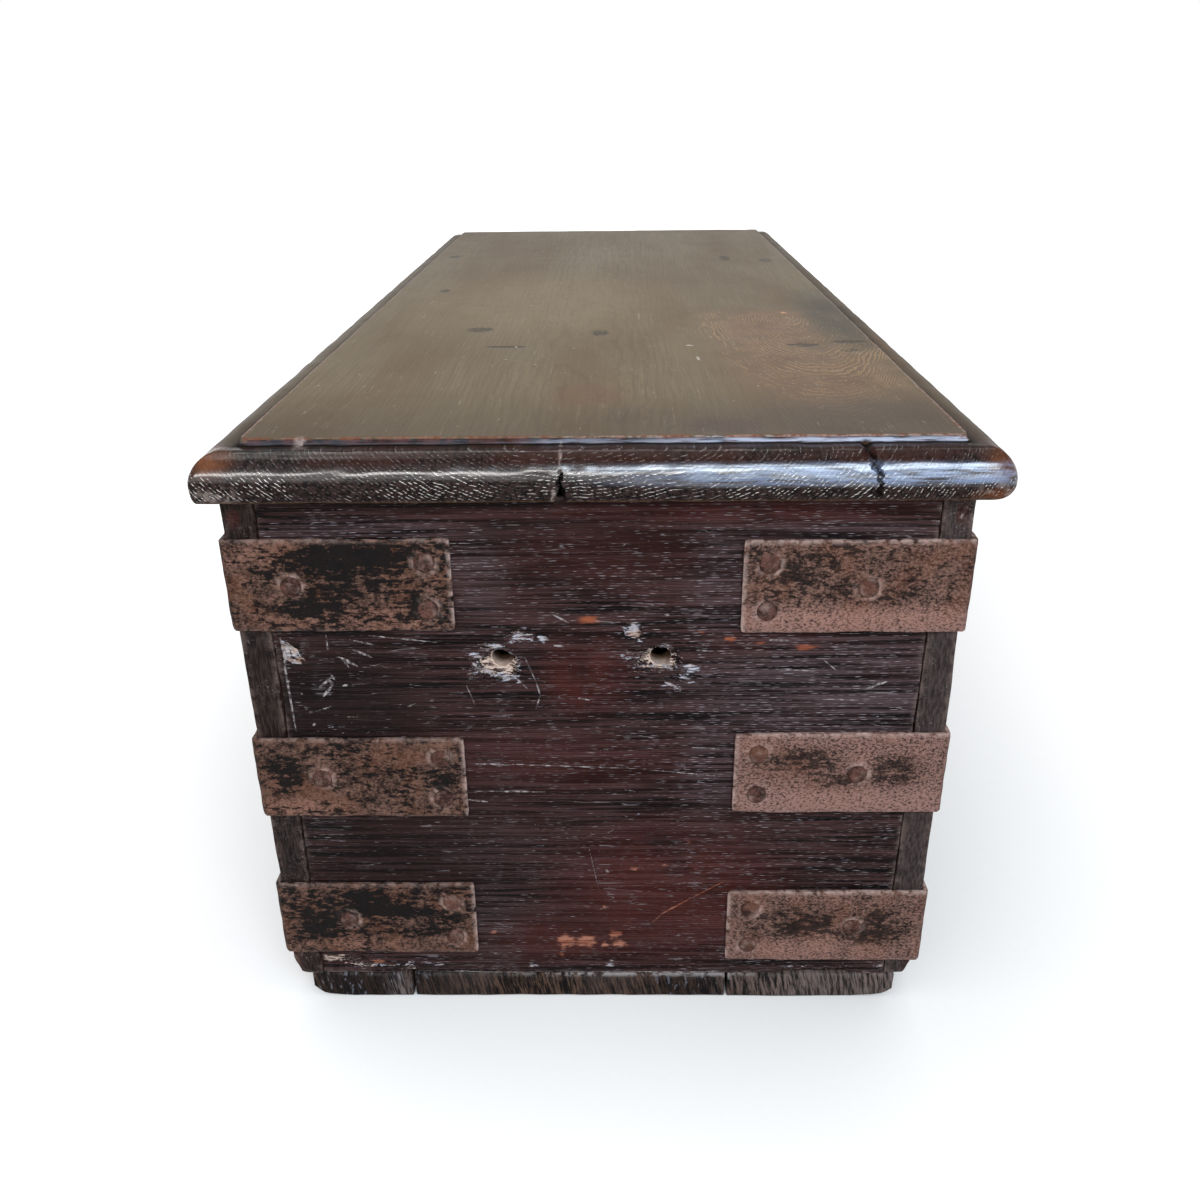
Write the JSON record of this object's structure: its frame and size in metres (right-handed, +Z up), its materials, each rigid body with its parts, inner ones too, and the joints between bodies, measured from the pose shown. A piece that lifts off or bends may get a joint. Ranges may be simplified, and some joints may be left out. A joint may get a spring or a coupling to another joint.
{
  "type": "strongbox",
  "caption": "Oak plank strongbox with a moulded hinged lid, iron corner straps, back hinges and a bolt lock in the front board.",
  "frame": {"origin": "middle of the lid's outline, on the surface that the box stands on", "axes": "+X along the length to the right of someone facing the front, -Y out of the front, +Z up"},
  "size_m": [0.817, 0.352, 0.3103],
  "materials": {
    "oak_boards": "old waxed oak, very dark",
    "oak_lid": "old waxed oak, satin",
    "oak_base": "old oak, bare and worn",
    "strap_iron": "wrought iron, browned by rust under black remains",
    "nail_iron": "wrought iron, browned by rust",
    "lock_iron": "wrought iron, dark and oiled"
  },
  "bodies": {
    "carcase": {"front_board": "oak_boards", "back_board": "oak_boards", "left_end_board": "oak_boards", "right_end_board": "oak_boards", "base_plank_front": "oak_base", "base_plank_middle": "oak_base", "base_plank_back": "oak_base", "strap_front_left_low": "strap_iron", "strap_front_left_mid": "strap_iron", "strap_front_left_top": "strap_iron", "strap_front_right_low": "strap_iron", "strap_front_right_mid": "strap_iron", "strap_front_right_top": "strap_iron", "strap_back_left_low": "strap_iron", "strap_back_left_mid": "strap_iron", "strap_back_left_top": "strap_iron", "strap_back_right_low": "strap_iron", "strap_back_right_mid": "strap_iron", "strap_back_right_top": "strap_iron", "strap_nails_front_left": "nail_iron", "strap_nails_front_right": "nail_iron", "strap_nails_back_left": "nail_iron", "strap_nails_back_right": "nail_iron", "board_nails": "nail_iron", "base_nails": "nail_iron", "hinge_left_body_leaf": "strap_iron", "hinge_left_pin": "nail_iron", "hinge_right_body_leaf": "strap_iron", "hinge_right_pin": "nail_iron", "hinge_nails_body": "nail_iron", "lock_plate": "lock_iron", "lock_spring": "lock_iron", "lock_nails": "nail_iron"},
    "lid": {"lid_board": "oak_lid", "hinge_left_lid_leaf": "strap_iron", "hinge_right_lid_leaf": "strap_iron", "hinge_nails_lid": "nail_iron", "lid_staple": "lock_iron", "staple_nails": "nail_iron"},
    "bolt": {"lock_bolt": "lock_iron"}
  },
  "joints": [
    {"name": "lid_hinge", "type": "hinge", "parent": "carcase", "child": "lid", "pos_m": [0, 0.1718, 0.28275], "axis": [-1, 0, 0], "range_deg": [0, 105]},
    {"name": "bolt_slide", "type": "slide", "parent": "carcase", "child": "bolt", "axis": [1, 0, 0], "range_m": [0, 0.012]}
  ]
}
